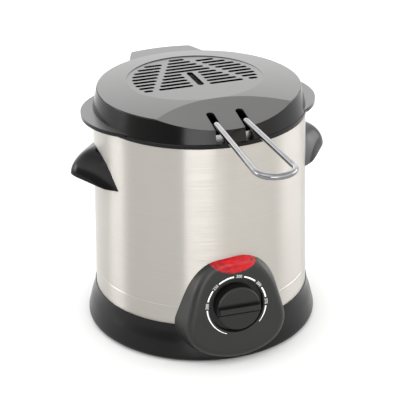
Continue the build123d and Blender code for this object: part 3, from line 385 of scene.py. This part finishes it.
def coat_small_parts():
    """Magnets, electrical parts, feet, lens, lamp and filter."""
    plastic("magnet_black", (0.05, 0.05, 0.052), 0.5, 0.6).coat_node("inlet_magnets")
    plastic("ceramic", (0.62, 0.58, 0.5), 0.35, 0.45, grain=700).coat_node(
        "terminal_block", "thermostat_body")
    plastic("wire_cover", (0.5, 0.08, 0.05), 0.45, 0.55).coat_node("internal_wires")
    plastic("foot_rubber", (0.02, 0.02, 0.02), 0.75, 0.9, grain=900, depth=0.00005).coat_node("rubber_feet")
    # The lens has a faint red emission, a painted glow standing in for light from the signal lamp behind it
    plastic("lens_red", (0.26, 0.0005, 0.004), 0.04, 0.07, grain=150, depth=0.0016,
            mottle=(110, 0.35, 2.4, (0.6, 1, 1.6)), Specular_IOR_Level=0.3, Transmission_Weight=0.4,
            IOR=1.45, Emission_Color=(0.6, 0.0, 0.01, 1), Emission_Strength=0.2).coat_node("indicator_lens")
    plastic("lamp_glass", (0.9, 0.5, 0.3), 0.1, 0.2, Transmission_Weight=0.6).coat_node("indicator_lamp")
    plastic("filter_felt", (0.045, 0.045, 0.044), 0.85, 0.95, grain=500, depth=0.0004,
            mottle=(700, 0.7, 1.2), Specular_IOR_Level=0.2).coat_node("lid_filter")


# ------------------------------------------------------------------ new pieces
SHARP_ANGLE = radians(28)
WIRE_SIDES = 5
# A wire counts as upright when the sine of its angle from upright is no more than this
WIRE_UPRIGHT = 0.2


def add_piece(name, mesh, body, paint):
    """Link a new mesh, and let it ride on its body."""
    piece = bpy.data.objects.new(name, mesh)
    bpy.context.scene.collection.objects.link(piece)
    coat(piece, paint)
    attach(piece, body)
    return piece


def add_wire(shape, line, radius, closed=False):
    """Sweep a round section along a list of points."""
    count = len(line)
    rings = []
    for i, point in enumerate(line):
        before = line[(i - 1) % count] if closed or i else line[0]
        after = line[(i + 1) % count] if closed or i < count - 1 else line[-1]
        ahead = (after - before).normalized()
        side = ahead.cross(Vector((0, 0, 1)))
        if side.length <= WIRE_UPRIGHT:
            side = ahead.cross(Vector((point.x, point.y, 0)))
        side.normalize()
        lift = ahead.cross(side)
        rings.append([shape.verts.new(point + radius * (cos(turn) * side + sin(turn) * lift))
                      for turn in (2 * pi * k / WIRE_SIDES for k in range(WIRE_SIDES))])
    pairs = list(zip(rings, rings[1:])) + ([(rings[-1], rings[0])] if closed else [])
    for low, high in pairs:
        for k in range(WIRE_SIDES):
            m = (k + 1) % WIRE_SIDES
            shape.faces.new((low[k], low[m], high[m], high[k]))
    if not closed:
        shape.faces.new(rings[0][::-1])
        shape.faces.new(rings[-1])


def mesh_from(name, shape, smooth=True):
    """Finish a bmesh as a mesh with outward faces."""
    bmesh.ops.recalc_face_normals(shape, faces=shape.faces)
    for face in shape.faces:
        face.smooth = smooth
    mesh = bpy.data.meshes.new(name)
    shape.to_mesh(mesh)
    shape.free()
    return mesh


WEAVE_WIRE = 0.45 * MM
WEAVE_PITCH = 5.0 * MM
WEAVE_CORNER = 10 * MM
WEAVE_BENDS = 4
# A woven wire reaches this many of its radii either side of the weave's middle, with a little to spare
WEAVE_REACH = 2.1
# The floor's wires end this far in from the wall
WEAVE_INSET = 0.8 * WEAVE_CORNER


def weave_wall(shape, radius, bottom, top):
    """Upright wires that turn in under the basket, woven through level rings."""
    uprights = 2 * round(pi * radius / WEAVE_PITCH)
    rings = round((top - bottom - WEAVE_CORNER) / WEAVE_PITCH)
    step = (top - bottom - WEAVE_CORNER) / rings
    for i in range(uprights):
        turn = 2 * pi * i / uprights
        out = Vector((cos(turn), sin(turn), 0))
        line = []
        for k in range(2 * rings + 1):
            sway = WEAVE_WIRE * cos(pi * (k / 2 + i))
            line.append(out * (radius + sway) + Vector((0, 0, top - k * step / 2)))
        for k in range(1, WEAVE_BENDS + 1):
            bend = pi / 2 * k / WEAVE_BENDS
            reach = radius - WEAVE_CORNER + WEAVE_CORNER * cos(bend)
            line.append(out * reach + Vector((0, 0, bottom + WEAVE_CORNER * (1 - sin(bend)))))
        add_wire(shape, line, WEAVE_WIRE)
    for k in range(1, rings + 1):
        line = []
        for i in range(2 * uprights):
            turn = pi * i / uprights
            sway = -WEAVE_WIRE * cos(pi * (i / 2 + k))
            line.append(Vector((cos(turn) * (radius + sway), sin(turn) * (radius + sway), top - k * step)))
        add_wire(shape, line, WEAVE_WIRE, closed=True)


def weave_floor(shape, radius, bottom):
    """Flat woven disc under the basket."""
    half = int(radius / WEAVE_PITCH)
    for i in range(-half, half + 1):
        offset = i * WEAVE_PITCH
        reach = (radius**2 - offset**2) ** 0.5
        steps = max(2, int(2 * reach / (WEAVE_PITCH / 2)))
        for crosswise in (False, True):
            line = []
            for k in range(steps + 1):
                along = -reach + 2 * reach * k / steps
                sway = WEAVE_WIRE * cos(pi * (along / WEAVE_PITCH + i)) * (-1 if crosswise else 1)
                place = (offset, along) if crosswise else (along, offset)
                line.append(Vector((*place, bottom + sway)))
            add_wire(shape, line, WEAVE_WIRE)


def make_weave(paint):
    """Woven wire cup of the frying basket, in place of its plain stand-in."""
    low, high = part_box("basket_mesh")
    radius = (high.x - low.x) / 2 - WEAVE_REACH * WEAVE_WIRE
    bottom = low.z + WEAVE_REACH * WEAVE_WIRE
    shape = bmesh.new()
    weave_wall(shape, radius, bottom, high.z - WEAVE_WIRE)
    weave_floor(shape, radius - WEAVE_INSET, bottom)
    piece = add_piece("basket_weave", mesh_from("basket_weave", shape), "basket", paint)
    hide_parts("basket_mesh")


# Dial scale: angles are degrees anticlockwise from the right, as seen from the front
DIAL_RADIUS = 29.6 * MM
DIAL_NUMBERS = ((173, "200"), (133, "250"), (83, "300"), (39.5, "350"), (0, "375"))
# Where each arc starts and ends, and the share of the line's full width at each end
DIAL_ARCS = ((181, 248, 1, 0.35), (141, 164, 1, 1), (93, 124, 1, 1), (49, 73, 1, 1), (8.5, 30, 1, 1),
             (-42, -9, 0.3, 1))
DIAL_STEP = 3
DIAL_LINE = 1.4 * MM
DIAL_DIGITS = 4.0 * MM
DIAL_WEIGHT = 0.08 * MM
# The ink starts this far out of the panel's face
DIAL_GAP = 0.02 * MM
# The arcs end this far out of the panel's face, and the numbers are this thick
DIAL_THICKNESS = 0.12 * MM


def dial_frame():
    """Matrix of the leaning panel face: across, up it, and out of it, with the knob's axis as origin."""
    out = Vector(joints["knob_turn"]["axis"]).normalized()
    right = Vector((1, 0, 0))
    up = out.cross(right)
    return Matrix.Translation(joints["knob_turn"]["pos_m"]) @ Matrix((right, up, out)).transposed().to_4x4()


def make_dial_arcs(paint):
    """Printed arcs between the dial's numbers."""
    shape = bmesh.new()
    for start, end, first, last in DIAL_ARCS:
        steps = max(4, round((end - start) / DIAL_STEP))
        rows = []
        for k in range(steps + 1):
            turn = radians(start + (end - start) * k / steps)
            width = DIAL_LINE * (first + (last - first) * k / steps)
            rows.append([shape.verts.new((cos(turn) * r, sin(turn) * r, height))
                         for r in (DIAL_RADIUS - width / 2, DIAL_RADIUS + width / 2)
                         for height in (DIAL_GAP, DIAL_THICKNESS)])
        for a, b in zip(rows, rows[1:]):
            for k, m in ((0, 1), (1, 3), (3, 2), (2, 0)):
                shape.faces.new((a[k], a[m], b[m], b[k]))
        for row in (rows[0], rows[-1]):
            shape.faces.new((row[0], row[1], row[3], row[2]))
    bmesh.ops.transform(shape, matrix=dial_frame(), verts=shape.verts)
    add_piece("dial_arcs", mesh_from("dial_arcs", shape, smooth=False), "root", paint)


def make_dial_numbers(paint):
    """Printed numbers that follow the dial's circle, their tops outward."""
    for degrees, words in DIAL_NUMBERS:
        text = bpy.data.curves.new("number", "FONT")
        text.body = words
        text.size = DIAL_DIGITS
        text.align_x = "CENTER"
        text.align_y = "CENTER"
        text.extrude = DIAL_THICKNESS / 2
        text.offset = DIAL_WEIGHT
        holder = bpy.data.objects.new("number", text)
        bpy.context.scene.collection.objects.link(holder)
        bpy.context.view_layer.update()
        mesh = bpy.data.meshes.new_from_object(holder)
        bpy.data.objects.remove(holder)
        turn = radians(degrees)
        centre = (cos(turn) * DIAL_RADIUS, sin(turn) * DIAL_RADIUS, DIAL_THICKNESS / 2 + DIAL_GAP)
        mesh.transform(dial_frame() @ Matrix.Translation(centre) @ Matrix.Rotation(turn - pi / 2, 4, "Z"))
        mesh.name = "dial_number_" + words
        add_piece("dial_number_" + words, mesh, "root", paint)


# Flat ring on the floor of the dial recess. It hides a crescent at the top of that floor, where the drum
# comes through it by up to 0.4 mm. Heights are out of the panel's face.
SEAL_RADIUS = 27.2 * MM
SEAL_HOLE = 8.5 * MM
SEAL_BACK = -8.0 * MM
SEAL_FRONT = -7.15 * MM
SEAL_CHAMFER = 0.2 * MM
SEAL_SIDES = 96


def make_dial_seal(paint):
    """Flat ring behind the knob, with its front edges taken off."""
    profile = ((SEAL_HOLE, SEAL_BACK), (SEAL_RADIUS, SEAL_BACK), (SEAL_RADIUS, SEAL_FRONT - SEAL_CHAMFER),
               (SEAL_RADIUS - SEAL_CHAMFER, SEAL_FRONT), (SEAL_HOLE + SEAL_CHAMFER, SEAL_FRONT),
               (SEAL_HOLE, SEAL_FRONT - SEAL_CHAMFER))
    shape = bmesh.new()
    rings = [[shape.verts.new((cos(turn) * r, sin(turn) * r, out)) for r, out in profile]
             for turn in (2 * pi * k / SEAL_SIDES for k in range(SEAL_SIDES))]
    for here, there in zip(rings, rings[1:] + rings[:1]):
        for i in range(len(profile)):
            m = (i + 1) % len(profile)
            shape.faces.new((here[i], here[m], there[m], there[i]))
    bmesh.ops.transform(shape, matrix=dial_frame(), verts=shape.verts)
    mesh = mesh_from("dial_seal", shape)
    mesh.set_sharp_from_angle(angle=SHARP_ANGLE)
    add_piece("dial_seal", mesh, "root", paint)


def make_pieces():
    """The pieces that stand for a node, or are added to the nodes."""
    weave = metal("weave_wire", (0.62, 0.62, 0.63), 0.16, 0.24, scale=400, depth=0.000004)
    make_weave(weave)
    make_dial_arcs(plastic("dial_ink", (0.8, 0.8, 0.78), 0.5, 0.6))
    make_dial_seal(plastic("seal_rubber", (0.008, 0.008, 0.008), 0.6, 0.75, grain=900, depth=0.00004))
    make_dial_numbers(plastic("number_ink", (0.42, 0.43, 0.42), 0.5, 0.6))


def soften_nodes():
    """Smooth shading over the CAD facets, kept crisp at real edges."""
    for node in nodes.values():
        node.data.set_sharp_from_angle(angle=SHARP_ANGLE)


bpy.context.scene.view_settings.view_transform = "Standard"
make_camera()
make_sky()
make_lamp()
make_floor()
coat_casing()
coat_metalwork()
coat_small_parts()
make_pieces()
soften_nodes()
